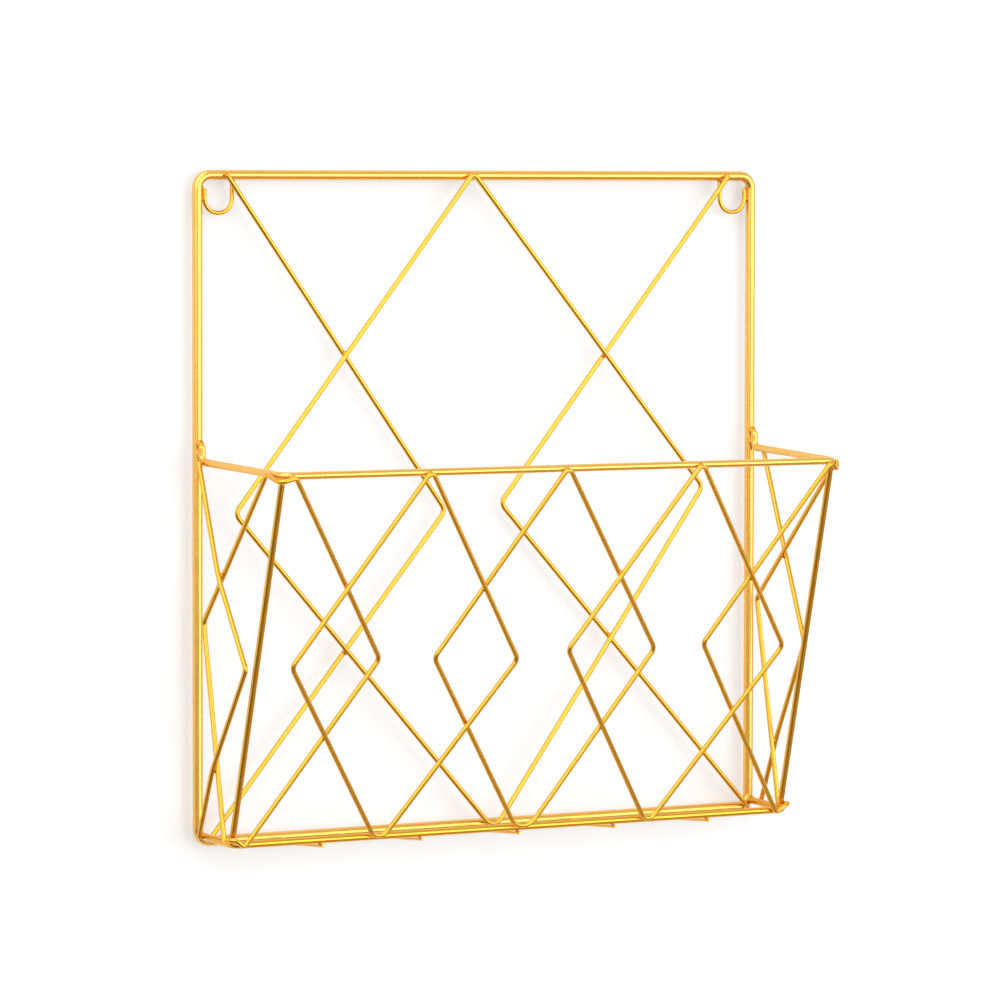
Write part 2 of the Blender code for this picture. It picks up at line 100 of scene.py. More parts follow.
# Corner diamonds: insets from the basket's corners, along its front and along its sides
CORNER_FRONT = {
    "left": {"top": 0.0047, "waist": 0.0605, "foot": 0.0036},
    "right": {"top": 0.0043, "waist": 0.0590, "foot": 0.0067},
}
CORNER_SIDE = {
    "left": {"top": 0.0092, "waist": 0.0672, "foot": 0.003},
    "right": {"top": 0.0034, "waist": 0.0704, "foot": 0.0101},
}
CORNER_SIDE_WAIST_HEIGHT = 0.0998
CORNER_SIDE_TUCK = 0.0018
FOLD_TILT = {
    "left": {"top": math.radians(40), "foot": math.radians(68)},
    "right": {"top": math.radians(72), "foot": math.radians(68)},
}
FOLD_BEND = {"left": {"top": 0.0035, "foot": 0.003}, "right": {"top": 0.0032, "foot": 0.004}}

# Posts, with insets from the basket's corners, and side chevrons, with places forward from the rim's tabs
POST_TOP_INSET = {"left": 0.0021, "right": 0.0011}
POST_FOOT_INSET = {"left": 0.0036, "right": 0.0023}
POST_TUCK = 0.001
SIDE_CHEVRON_TOP = 0.0025
SIDE_CHEVRON_FOOT = 0.0022
SIDE_CHEVRON_WAIST = {"left": 0.0440, "right": 0.0405}
SIDE_CHEVRON_WAIST_HEIGHT = 0.0813
SIDE_CHEVRON_BOW = {"left": {"top": 0.0035, "foot": 0.0019}, "right": {"top": 0.0024, "foot": 0.0074}}

# Fineness of the round wires, and the easing of a cut end: (depth, girth) in shares of the diameter
WIRE_FACETS = 20
BEND_STEP = math.radians(7)
FEWEST_BEND_STEPS = 2
RUN_STEP = 0.002
CUT_END = ((0, 0.72), (0.05, 0.9), (0.14, 1.0))

# Welds: the search's step, how near joined wires come, the least run between two welds, and the heat's reach
WELD_SEARCH = 0.00025
WELD_REACH = 0.0006
WELD_SPACING = 0.005
WELD_HEAT = 0.0025

# Weld beads: half sizes in shares of the thinner wire, their spread, and the lumps on them
BEAD_LENGTH = 0.62
BEAD_WIDTH = 0.5
BEAD_HEIGHT = 0.34
BEAD_SPREAD = (0.85, 1.15)
BEAD_FINENESS = 4
BEAD_SEED = 3
WELD_LUMP = 0.0009
WELD_LUMP_HEIGHT = 0.0002

# Gold plating, the same on every wire: the deeper tones on the other wires are its own, and the paler tones
# on the frame and rim are a painted sheen for their paler, whiter reflections. Its gloss lies under a thin
# clear lacquer
PAINTED_SHEEN_WIRES = ("back_frame", "basket_rim")
PAINTED_SHEEN_GOLD = {"pale": "#F6C05E", "deep": "#EEB755"}
DEEP_GOLD = {"pale": "#EAB039", "deep": "#E2A430"}
GOLD_WELD = "#B97F2A"
GOLD_ROUGHNESS = 0.24
LACQUER = 0.25
LACQUER_ROUGHNESS = 0.2
WELD_ROUGHNESS = 0.36

# Marks of the plating: their sizes, the dull patches' change of roughness, and what a weld's heat did.
# The skin's grain and the die's lines are finer on a real wire, and are drawn coarse enough to show
TONE_DRIFT = 0.015
DULL_PATCH = 0.006
DULL_PATCH_RANGE = (0.3, 0.7)
DULL_PATCH_SPREAD = 0.03
SKIN_GRAIN = 0.0006
DIE_LINE = 0.0003
DIE_LINE_RUN = 0.02
HEAT_BROWNING = 0.45
HEAT_DULLING = 0.15

# Depth of those marks and of a weld's lumps, and the share of it that shows
MARK_DEPTH = 0.00001
DIE_LINE_SHARE = 0.15
SKIN_SHARE = 0.12
LUMP_DEPTH = 0.00005
LUMP_SHARE = 0.5

# The photograph's view
CAMERA_PLACE = Vector((-1.364618, -2.284115, -0.000593))
CAMERA_YAW = math.radians(31.0669)
CAMERA_PITCH = math.radians(3.2124)
CAMERA_ROLL = math.radians(0.1163)
CAMERA_LENS_MM = 207.3
CAMERA_SENSOR_MM = 36

# The wall stands just behind the frame, and the pale floor lies under the rack and to its right
WALL_Y = 0.003
WALL_SPAN = (-3.0, 3.0)
WALL_TOP = 3.0
FLOOR_SPAN = (-0.4, 5.0)
FLOOR_FRONT = -3.6
FLOOR_Z = -2.2

# Matt paints of the wall and the floor, and the glow that lifts the wall to white
WHITE = "#FFFFFF"
WALL_PAINT = "#C8CACD"
WALL_GLOW = 0.355
FLOOR_PAINT = "#B8A88F"
PAINT_ROUGHNESS = 0.9
PAINT_SPECULAR = 0.1

# Softboxes, which face the rack's middle: their places, sizes in metres and power in watts
LAMP_AIM = Vector((0, -0.04, -0.15))
SOFTBOXES = {
    "tall_softbox_left": {"place": (-1.71, -1.24, 2.01), "width": 3.6, "height": 6.0, "power": 104},
    "low_softbox_right": {"place": (1.27, -2.76, -0.15), "width": 3.33, "height": 2.18, "power": 53},
}

# The surround's brightness above and below the horizon, and the rise in which it changes
SURROUND_HIGH = 0.82
SURROUND_LOW = 0.24
SURROUND_RISE = (-0.17, -0.03)

# Sockets that share their names with others: a Mix node's colours, and a Random Value node's numbers
MIX_FROM = 6
MIX_TO = 7
MIX_RESULT = 2
RANDOM_LEAST = 2
RANDOM_MOST = 3
RANDOM_RESULT = 1

# Places that follow from the sizes above
SIDES = {"left": -1, "right": 1}
UP = Vector((0, 0, 1))
FRAME_Y = -FRAME_WIRE / 2 * math.cos(math.pi / FRAME_SIDES)
BOTTOM_Z = -FRAME_HEIGHT
HALF_WIDTH = FRAME_WIDTH / 2
BUTT_STANDOFF = FRAME_WIRE / 2 + WELD_GAP
TAB_STANDOFF = BUTT_STANDOFF + BAR_WIRE / 2
BACK_LAYER = BUTT_STANDOFF + LATTICE_WIRE / 2
BASKET_LAYER = BAR_WIRE / 2 + WELD_GAP + LATTICE_WIRE / 2
RIM_CORNER = Vector((RIM_FRONT_WIDTH / 2, FRAME_Y - RIM_DEPTH, BOTTOM_Z + RIM_FRONT_HEIGHT))
SIDE_TAPER = (HALF_WIDTH - RIM_FRONT_WIDTH / 2) / (RIM_DEPTH - TAB_STANDOFF)
FLOOR_HALF_WIDTH = HALF_WIDTH - SIDE_TAPER * (FLOOR_DEPTH - TAB_STANDOFF)
FLOOR_CORNER = Vector((FLOOR_HALF_WIDTH, FRAME_Y - FLOOR_DEPTH, BOTTOM_Z + FLOOR_FRONT_HEIGHT))
FRONT_RISE = Vector((0, FLOOR_DEPTH - RIM_DEPTH, RIM_FRONT_HEIGHT - FLOOR_FRONT_HEIGHT))
FRONT_HEIGHT = FRONT_RISE.length
FRONT_UP = FRONT_RISE.normalized()
FRONT_OUT = Vector((1, 0, 0)).cross(FRONT_UP)
SIDE_BACK = Vector((HALF_WIDTH, FRAME_Y - TAB_STANDOFF, BOTTOM_Z))
SIDE_FORWARD = Vector((-SIDE_TAPER, -1, 0)).normalized()
SIDE_OUT = UP.cross(SIDE_FORWARD)
RIM_RUN = (RIM_DEPTH - TAB_STANDOFF) * math.hypot(1, SIDE_TAPER)
FLOOR_RUN = (FLOOR_DEPTH - TAB_STANDOFF) * math.hypot(1, SIDE_TAPER)


def mirrored(point, side):
    """The point on the wanted side of the rack, from its place on the right."""
    return Vector((point[0] * SIDES[side], point[1], point[2]))


def back_point(across, up, out):
    """A point of the back panel: up from the bottom bar, out in front of the frame's middle."""
    return Vector((across, FRAME_Y - out, BOTTOM_Z + up))


def front_point(across, up, out):
    """A point of the leaning front: up from the floor bar, out in front of the bars' middles."""
    foot = Vector((across, FLOOR_CORNER.y, FLOOR_CORNER.z))
    return foot + FRONT_UP * up + FRONT_OUT * out


def side_point(side, along, up, out):
    """A point of a side: along from the rim's tab, up from the bottom bar, out past the bars' middles."""
    return mirrored(SIDE_BACK + SIDE_FORWARD * along + UP * up + SIDE_OUT * out, side)


def rim_height(along):
    """The rim's height above the bottom bar, some way along a side."""
    return RIM_HEIGHT + (RIM_FRONT_HEIGHT - RIM_HEIGHT) * along / RIM_RUN


def floor_height(along):
    """The floor bar's height above the bottom bar, some way along a side."""
    return FLOOR_HEIGHT + (FLOOR_FRONT_HEIGHT - FLOOR_HEIGHT) * along / FLOOR_RUN


def crown(bend, run, rise):
    """How far a bend's sharp corner stands beyond its round top."""
    return bend * (math.hypot(run, rise) / abs(run) - 1)


def crossing_shares(start_a, end_a, start_b, end_b):
    """The shares of their lengths at which two straight legs of one panel cross."""
    leg_a, leg_b, apart = end_a - start_a, end_b - start_b, start_b - start_a
    spread = leg_a.cross(leg_b)
    return apart.cross(leg_b) / spread, apart.cross(leg_a) / spread


def layer_step(crossings):
    """How far two waists stand off the middle layer, one each way, so that crossing wires just touch."""
    return max((LATTICE_WIRE + WELD_GAP) / sum(crossing_shares(*legs)) for legs in crossings)


def rounded(corners, closed=False):
    """The centre line through (corner, bend radius) pairs, each bend an arc of fine steps."""
    last = len(corners) - 1
    line = []
    for index, (corner, bend) in enumerate(corners):
        if not closed and index in (0, last):
            line.append(Vector(corner))
            continue
        back = (corners[index - 1][0] - corner).normalized()
        ahead = (corners[(index + 1) % len(corners)][0] - corner).normalized()
        turn = math.pi - back.angle(ahead)
        centre = corner + (back + ahead).normalized() * bend / math.cos(turn / 2)
        axis = ahead.cross(back).normalized()
        spoke = corner + back * bend * math.tan(turn / 2) - centre
        steps = max(FEWEST_BEND_STEPS, math.ceil(turn / BEND_STEP))
        for step in range(steps + 1):
            angle = turn * step / steps
            line.append(centre + spoke * math.cos(angle) + axis.cross(spoke) * math.sin(angle))
    return line


def stepped(line, closed, longest):
    """The same line with extra points, so that no step is longer than the longest."""
    points = []
    following = line[1:] + line[:1] if closed else line[1:]
    for start, end in zip(line, following):
        steps = math.ceil((end - start).length / longest)
        points.extend(start.lerp(end, step / steps) for step in range(steps))
    return points if closed else points + [line[-1]]


def frame_line():
    """The rectangle that lies against the wall."""
    across = (-HALF_WIDTH, HALF_WIDTH, HALF_WIDTH, -HALF_WIDTH)
    heights = (0, 0, FRAME_HEIGHT, FRAME_HEIGHT)
    return rounded([(back_point(x, z, 0), FRAME_BEND) for x, z in zip(across, heights)], True)


def loop_line(side):
    """A small U in a top corner, from the upright round to the underside of the top bar."""
    outer = HALF_WIDTH - BUTT_STANDOFF - LOOP_WIRE / 2
    inner = outer - LOOP_WIDTH
    low = FRAME_HEIGHT - LOOP_DROP
    bend = (LOOP_WIDTH - LOOP_FLAT) / 2
    corners = [
        (back_point(outer, FRAME_HEIGHT - FRAME_BEND, 0), 0),
        (back_point(outer, low, 0), bend),
        (back_point(inner, low, 0), bend),
        (back_point(inner, FRAME_HEIGHT - BUTT_STANDOFF, 0), 0),
    ]
    return rounded([(mirrored(point, side), radius) for point, radius in corners])


def back_diamond_flat():
    """The back diamond's sharp corners across and up the panel."""
    flat = {side: Vector(BACK_DIAMOND_WAIST[side]) for side in SIDES}
    half_span = (flat["right"].x - flat["left"].x) / 2
    height = (flat["right"].y + flat["left"].y) / 2
    rise = crown(TOP_BEND, half_span, FRAME_HEIGHT - height)
    flat["top"] = Vector((BACK_DIAMOND_TOP, FRAME_HEIGHT + rise))
    flat["foot"] = Vector((BACK_DIAMOND_FOOT, -crown(BACK_FOOT_BEND, half_span, height)))
    return flat


def back_chevron_flat(side):
    """A back chevron's ends and waist across and up the panel."""
    inset = BACK_CHEVRON[side]
    return {
        "top": Vector((SIDES[side] * (HALF_WIDTH - inset["top"]), FRAME_HEIGHT + END_LAP)),
        "waist": Vector((SIDES[side] * (HALF_WIDTH - inset["waist"]), inset["waist_height"])),
        "foot": Vector((SIDES[side] * (HALF_WIDTH - inset["foot"]), -END_LAP)),
    }


def back_step():
    """How far the waists of the back lattice stand off its middle layer."""
    diamond = back_diamond_flat()
    chevrons = {side: back_chevron_flat(side) for side in SIDES}
    return layer_step([(chevrons[side][end], chevrons[side]["waist"], diamond[end], diamond[side])
                       for side in SIDES for end in ("top", "foot")])


def back_diamond_line():
    """The closed diamond, in front of both back chevrons."""
    flat = back_diamond_flat()
    layer = BACK_LAYER + back_step()
    return rounded([
        (back_point(*flat["top"], BACK_LAYER), TOP_BEND),
        (back_point(*flat["left"], layer), WAIST_BEND),
        (back_point(*flat["foot"], BACK_LAYER), BACK_FOOT_BEND),
        (back_point(*flat["right"], layer), WAIST_BEND),
    ], True)


def back_chevron_line(side):
    """A half diamond, behind the back diamond."""
    flat = back_chevron_flat(side)
    return rounded([
        (back_point(*flat["top"], BACK_LAYER), 0),
        (back_point(*flat["waist"], BACK_LAYER - back_step()), WAIST_BEND),
        (back_point(*flat["foot"], BACK_LAYER), 0),
    ])


def rim_line():
    """A U round the top of the basket, its ends turned up along the uprights."""
    right = [
        (RIM_CORNER, BAR_BEND),
        (side_point("right", 0, RIM_HEIGHT, 0), RIM_TAB_BEND),
        (side_point("right", 0, RIM_HEIGHT + RIM_TAB, 0), 0),
    ]
    return rounded([(mirrored(point, "left"), bend) for point, bend in reversed(right)] + right)


def floor_bar_line():
    """A U round the floor of the basket, its cut ends against the uprights."""
    end = side_point("right", BUTT_STANDOFF - TAB_STANDOFF, FLOOR_HEIGHT, 0)
    right = [(FLOOR_CORNER, BAR_BEND), (end, 0)]
    return rounded([(mirrored(point, "left"), bend) for point, bend in reversed(right)] + right)


def floor_wire_line(number):
    """A short wire under the floor, from the floor bar back to the bottom bar."""
    across = (number - (FLOOR_WIRE_COUNT + 1) / 2) * FLOOR_WIRE_PITCH
    back = back_point(across, -(FRAME_WIRE + FLOOR_WIRE) / 2 - WELD_GAP, 0)
    drop = (BAR_WIRE + FLOOR_WIRE) / 2 + WELD_GAP
    front = Vector((across, FLOOR_CORNER.y, FLOOR_CORNER.z - drop))
    run = (front - back).normalized()
    return rounded([(front + run * (BAR_WIRE / 2 + FLOOR_WIRE_STUB), 0), (back - run * FLOOR_WIRE_REST, 0)])


def diamond_flat(name):
    """A front diamond's sharp corners across and up the front."""
    shift, lift = DIAMOND_SHIFT[name], DIAMOND_WAIST_LIFT[name]
    even = DIAMOND_BAY[name] * DIAMOND_PITCH
    top = FRONT_HEIGHT + crown(TOP_BEND, DIAMOND_HALF_SPAN, FRONT_HEIGHT - FRONT_WAIST_HEIGHT)
    foot = DIAMOND_FOOT_LIFT - crown(DIAMOND_FOOT_BEND[name], DIAMOND_HALF_SPAN, FRONT_WAIST_HEIGHT)
    flat = {"top": Vector((even + shift["top"], top)), "foot": Vector((even + shift["foot"], foot))}
    for side, sign in SIDES.items():
        across = even + sign * DIAMOND_HALF_SPAN + shift[side]
        flat[side] = Vector((across, FRONT_WAIST_HEIGHT + lift[side]))
    return flat


def corner_front_flat(side):
    """The front half of a corner diamond, across and up the front."""
    inset = CORNER_FRONT[side]
    return {
        "top": Vector((SIDES[side] * (RIM_FRONT_WIDTH / 2 - inset["top"]), FRONT_HEIGHT)),
        "waist": Vector((SIDES[side] * (RIM_FRONT_WIDTH / 2 - inset["waist"]), FRONT_WAIST_HEIGHT)),
        "foot": Vector((SIDES[side] * (FLOOR_HALF_WIDTH - inset["foot"]), 0)),
    }


def corner_side_flat(side):
    """The side half of a corner diamond, along and up the side."""
    inset = CORNER_SIDE[side]
    top = RIM_RUN - inset["top"]
    foot = FLOOR_RUN - inset["foot"]
    return {
        "top": Vector((top, rim_height(top))),
        "waist": Vector((RIM_RUN - inset["waist"], CORNER_SIDE_WAIST_HEIGHT)),
        "foot": Vector((foot, floor_height(foot))),
    }


def front_step():
    """How far the waists of the front lattice stand off its middle layer."""
    left, middle, right = (diamond_flat(name) for name in DIAMOND_BAY)
    outer = {side: corner_front_flat(side) for side in SIDES}
    legs = []
    for end in ("top", "foot"):
        legs.append((outer["left"][end], outer["left"]["waist"], left[end], left["left"]))
        legs.append((left[end], left["right"], middle[end], middle["left"]))
        legs.append((middle[end], middle["right"], right[end], right["left"]))
        legs.append((right[end], right["right"], outer["right"][end], outer["right"]["waist"]))
    return layer_step(legs)


def front_diamond_line(name):
    """A closed diamond on the front: the outer two lie over their neighbours, the middle one under."""
    flat = diamond_flat(name)
    waist_layer = BASKET_LAYER + (front_step() if DIAMOND_BAY[name] else -front_step())
    foot_layer = math.sqrt(BASKET_LAYER ** 2 - DIAMOND_FOOT_LIFT ** 2)
    return rounded([
        (front_point(*flat["top"], BASKET_LAYER), TOP_BEND),
        (front_point(*flat["left"], waist_layer), WAIST_BEND),
        (front_point(*flat["foot"], foot_layer), DIAMOND_FOOT_BEND[name]),
        (front_point(*flat["right"], waist_layer), WAIST_BEND),
    ], True)


def fold_point(side, end):
    """The sharp tip of a corner diamond's fold: out past the bar's corner, and tilted in between the bars.

    Its reach keeps the runs up to it clear of the bar.
    """
    tilt = FOLD_TILT[side][end]
    reach = BASKET_LAYER * (math.sqrt(math.cos(tilt) ** 2 + 3) - math.cos(tilt))
    past_corner = (FRONT_OUT + SIDE_OUT) * reach * math.cos(tilt)
    dip = FRONT_UP * reach * math.sin(tilt)
    tip = RIM_CORNER - dip if end == "top" else FLOOR_CORNER + dip
    return mirrored(tip + past_corner, side)


def corner_diamond_line(side):
    """A closed diamond folded round a post, its folds dipping in between rim and floor bar."""
    front, flank = corner_front_flat(side), corner_side_flat(side)
    return rounded([
        (front_point(*front["top"], BASKET_LAYER), CORNER_LEG_BEND),
        (front_point(*front["waist"], BASKET_LAYER - front_step()), WAIST_BEND),
        (front_point(*front["foot"], BASKET_LAYER), CORNER_LEG_BEND),
        (fold_point(side, "foot"), FOLD_BEND[side]["foot"]),
        (side_point(side, *flank["foot"], BASKET_LAYER), CORNER_LEG_BEND),
        (side_point(side, *flank["waist"], BASKET_LAYER - CORNER_SIDE_TUCK), WAIST_BEND),
        (side_point(side, *flank["top"], BASKET_LAYER), CORNER_LEG_BEND),
        (fold_point(side, "top"), FOLD_BEND[side]["top"]),
    ], True)


def corner_post_line(side):
    """A strut from the floor bar's corner to the rim's corner."""
    top = RIM_RUN - POST_TOP_INSET[side]
    foot = FLOOR_RUN - POST_FOOT_INSET[side]
    top_end = side_point(side, top, rim_height(top), -POST_TUCK)
    foot_end = side_point(side, foot, floor_height(foot), -POST_TUCK)
    lean = (top_end - foot_end).normalized()
    cut = (BAR_WIRE / 2 + WELD_GAP + POST_WIRE / 2 * math.hypot(lean.x, lean.y)) / lean.z
    return rounded([(foot_end + lean * cut, 0), (top_end - lean * cut, 0)])


def side_chevron_line(side):
    """A half diamond at the rear of a side, with a knee over the corner diamond at each crossing."""
    under = corner_side_flat(side)
    flat = {
        "top": Vector((SIDE_CHEVRON_TOP, rim_height(SIDE_CHEVRON_TOP) + END_LAP)),
        "waist": Vector((SIDE_CHEVRON_WAIST[side], SIDE_CHEVRON_WAIST_HEIGHT)),
        "foot": Vector((SIDE_CHEVRON_FOOT, floor_height(SIDE_CHEVRON_FOOT) - END_LAP)),
    }
    knees = {}
    for end in ("top", "foot"):
        straight = crossing_shares(flat[end], flat["waist"], under[end], under["waist"])[1]
        share = straight + SIDE_CHEVRON_BOW[side][end] / (under["waist"] - under[end]).length
        out = BASKET_LAYER - CORNER_SIDE_TUCK * share + LATTICE_WIRE + WELD_GAP
        knees[end] = side_point(side, *under[end].lerp(under["waist"], share), out)
    return rounded([
        (side_point(side, *flat["top"], BASKET_LAYER), 0),
        (knees["top"], KNEE_BEND),
        (side_point(side, *flat["waist"], BASKET_LAYER), WAIST_BEND),
        (knees["foot"], KNEE_BEND),
        (side_point(side, *flat["foot"], BASKET_LAYER), 0),
    ])


def wire_lines():
    """Every wire by its node's name: its centre line, its diameter, and whether it closes on itself."""
    wires = {
        "back_frame": (frame_line(), FRAME_WIRE, True),
        "back_diamond": (back_diamond_line(), LATTICE_WIRE, True),
        "basket_rim": (rim_line(), BAR_WIRE, False),
        "floor_bar": (floor_bar_line(), BAR_WIRE, False),
    }
    for side in SIDES:
        wires["hanging_loop_" + side] = (loop_line(side), LOOP_WIRE, False)
        wires["back_chevron_" + side] = (back_chevron_line(side), LATTICE_WIRE, False)
        wires["corner_diamond_" + side] = (corner_diamond_line(side), LATTICE_WIRE, True)
        wires["corner_post_" + side] = (corner_post_line(side), POST_WIRE, False)
        wires["side_chevron_" + side] = (side_chevron_line(side), LATTICE_WIRE, False)
    for name in DIAMOND_BAY:
        wires["front_diamond_" + name] = (front_diamond_line(name), LATTICE_WIRE, True)
    for number in range(1, FLOOR_WIRE_COUNT + 1):
        wires[f"floor_wire_{number}"] = (floor_wire_line(number), FLOOR_WIRE, False)
    return wires


def linear(code):
    """An sRGB hex colour as linear RGBA."""
    parts = [int(code[place:place + 2], 16) / 255 for place in (1, 3, 5)]
    return [c / 12.92 if c <= 0.04045 else ((c + 0.055) / 1.055) ** 2.4 for c in parts] + [1.0]


def add(tree, kind, inputs=None, **settings):
    """A node of a tree, with its settings, and its inputs set to values or linked to other nodes."""
    node = tree.nodes.new(kind)
    for name, value in settings.items():
        setattr(node, name, value)
    for key, value in (inputs or {}).items():
        if isinstance(value, bpy.types.NodeSocket):
            tree.links.new(value, node.inputs[key])
        else:
            node.inputs[key].default_value = value
    return node


def gold_plated_wire(name, tones):
    """Drawn steel wire with bright gold plating: a clear warm reflection, softened by its fine skin.

    A thin clear lacquer adds a paler gleam. The tone drifts a little from place to place, the drawing die
    left faint lines along the wire, and the plating is duller and browner where the heat of a weld reached.
    """
    material = bpy.data.materials.new(name)
    material.use_nodes = True
    tree = material.node_tree
    shader = tree.nodes["Principled BSDF"]
    place = add(tree, "ShaderNodeTexCoord")
    section = add(tree, "ShaderNodeAttribute", attribute_name="section")
    along = add(tree, "ShaderNodeAttribute", attribute_name="along")
    heat = add(tree, "ShaderNodeAttribute", attribute_name="heat")

    drift = add(tree, "ShaderNodeTexNoise",
                {"Vector": place.outputs["Object"], "Scale": 1 / TONE_DRIFT, "Detail": 3.0,
                 "Roughness": 0.6})
    # Between the two given tones; on the frame and rim these are a paler copy of the plating, a painted
    # sheen
    tone = add(tree, "ShaderNodeMix", data_type="RGBA",
               inputs={"Factor": drift.outputs["Fac"], MIX_FROM: linear(tones["deep"]),
                       MIX_TO: linear(tones["pale"])})
    heated = add(tree, "ShaderNodeMath", {0: heat.outputs["Fac"], 1: HEAT_BROWNING}, operation="MULTIPLY")
    colour = add(tree, "ShaderNodeMix", data_type="RGBA",
                 inputs={"Factor": heated.outputs[0], MIX_FROM: tone.outputs[MIX_RESULT],
                         MIX_TO: linear(GOLD_WELD)})
    tree.links.new(colour.outputs[MIX_RESULT], shader.inputs["Base Color"])

    patches = add(tree, "ShaderNodeTexNoise",
                  {"Vector": place.outputs["Object"], "Scale": 1 / DULL_PATCH, "Detail": 2.0})
    soft = add(tree, "ShaderNodeMapRange",
               {"Value": patches.outputs["Fac"],
                "From Min": DULL_PATCH_RANGE[0], "From Max": DULL_PATCH_RANGE[1],
                "To Min": GOLD_ROUGHNESS - DULL_PATCH_SPREAD, "To Max": GOLD_ROUGHNESS + DULL_PATCH_SPREAD})
    rough = add(tree, "ShaderNodeMath", operation="MULTIPLY_ADD",
                inputs={0: heat.outputs["Fac"], 1: HEAT_DULLING, 2: soft.outputs[0]})
    tree.links.new(rough.outputs[0], shader.inputs["Roughness"])

    length = add(tree, "ShaderNodeMath", {0: along.outputs["Fac"], 1: DIE_LINE / DIE_LINE_RUN},
                 operation="MULTIPLY")
    run = add(tree, "ShaderNodeCombineXYZ", {"Z": length.outputs[0]})
    laid = add(tree, "ShaderNodeVectorMath", operation="ADD",
               inputs={0: section.outputs["Vector"], 1: run.outputs[0]})
    lines = add(tree, "ShaderNodeTexNoise",
                {"Vector": laid.outputs[0], "Scale": 1 / DIE_LINE, "Detail": 1.0})
    skin = add(tree, "ShaderNodeTexNoise",
               {"Vector": place.outputs["Object"], "Scale": 1 / SKIN_GRAIN, "Detail": 2.0})
    scored = add(tree, "ShaderNodeBump",
                 {"Strength": DIE_LINE_SHARE, "Distance": MARK_DEPTH, "Height": lines.outputs["Fac"]})
    grained = add(tree, "ShaderNodeBump",
                  {"Strength": SKIN_SHARE, "Distance": MARK_DEPTH, "Height": skin.outputs["Fac"],
                   "Normal": scored.outputs[0]})
    tree.links.new(grained.outputs[0], shader.inputs["Normal"])
    shader.inputs["Metallic"].default_value = 1.0
    shader.inputs["Coat Weight"].default_value = LACQUER
    shader.inputs["Coat Roughness"].default_value = LACQUER_ROUGHNESS
    return material


def gold_plated_weld():
    """Weld metal under the same plating: lumpy, so its reflection breaks up, and browner than the wire."""
    material = bpy.data.materials.new("gold_plated_weld_bead")
    material.use_nodes = True
    tree = material.node_tree
    shader = tree.nodes["Principled BSDF"]
    place = add(tree, "ShaderNodeTexCoord")
    lumps = add(tree, "ShaderNodeTexNoise",
                {"Vector": place.outputs["Object"], "Scale": 1 / WELD_LUMP, "Detail": 3.0})
    colour = add(tree, "ShaderNodeMix", data_type="RGBA",
                 inputs={"Factor": lumps.outputs["Fac"], MIX_FROM: linear(GOLD_WELD),
                         MIX_TO: linear(DEEP_GOLD["deep"])})
    tree.links.new(colour.outputs[MIX_RESULT], shader.inputs["Base Color"])
    bump = add(tree, "ShaderNodeBump",
               {"Strength": LUMP_SHARE, "Distance": LUMP_DEPTH, "Height": lumps.outputs["Fac"]})
    tree.links.new(bump.outputs[0], shader.inputs["Normal"])
    shader.inputs["Metallic"].default_value = 1.0
    shader.inputs["Roughness"].default_value = WELD_ROUGHNESS
    return material


def tree_with_inputs(name, sizes):
    """An empty Geometry Nodes tree with a named input for each size, and the inputs' identifiers."""
    tree = bpy.data.node_groups.new(name, "GeometryNodeTree")
    tree.interface.new_socket("Geometry", in_out="INPUT", socket_type="NodeSocketGeometry")
    tree.interface.new_socket("Geometry", in_out="OUTPUT", socket_type="NodeSocketGeometry")
    identifiers = {}
    for size, kind in sizes.items():
        socket = tree.interface.new_socket(size, in_out="INPUT", socket_type="NodeSocket" + kind)
        identifiers[size] = socket.identifier
    return tree, identifiers


def end_tree(tree, geometry, finish):
    """The last nodes of every tree: real geometry, smooth shading and the finish."""
    real = add(tree, "GeometryNodeRealizeInstances", {"Geometry": geometry})
    smooth = add(tree, "GeometryNodeSetShadeSmooth", {"Geometry": real.outputs[0]})
    finished = add(tree, "GeometryNodeSetMaterial", {"Geometry": smooth.outputs[0], "Material": finish})
    add(tree, "NodeGroupOutput", {"Geometry": finished.outputs[0]})


def wire_tree():
    """Sweeps a round section along a line, and keeps each point's place in the section and along it."""
    tree, identifiers = tree_with_inputs(
        "round_wire", {"Diameter": "Float", "Facets": "Int", "Finish": "Material"})
    given = add(tree, "NodeGroupInput")
    line = add(tree, "GeometryNodeMeshToCurve", {"Mesh": given.outputs["Geometry"]})
    parameter = add(tree, "GeometryNodeSplineParameter")
    measured = add(tree, "GeometryNodeStoreNamedAttribute",
                   {"Geometry": line.outputs[0], "Name": "along", "Value": parameter.outputs["Length"]})
    radius = add(tree, "ShaderNodeMath", {0: given.outputs["Diameter"], 1: 0.5}, operation="MULTIPLY")
    circle = add(tree, "GeometryNodeCurvePrimitiveCircle",
                 {"Resolution": given.outputs["Facets"], "Radius": radius.outputs[0]})
    spoke = add(tree, "GeometryNodeInputPosition")
    section = add(tree, "GeometryNodeStoreNamedAttribute", data_type="FLOAT_VECTOR",
                  inputs={"Geometry": circle.outputs[0], "Name": "section", "Value": spoke.outputs[0]})
    girth = add(tree, "GeometryNodeInputNamedAttribute", {"Name": "girth"})
    swept = add(tree, "GeometryNodeCurveToMesh",
                {"Curve": measured.outputs[0], "Profile Curve": section.outputs[0],
                 "Scale": girth.outputs[0], "Fill Caps": True})
    end_tree(tree, swept.outputs[0], given.outputs["Finish"])
    return tree, identifiers


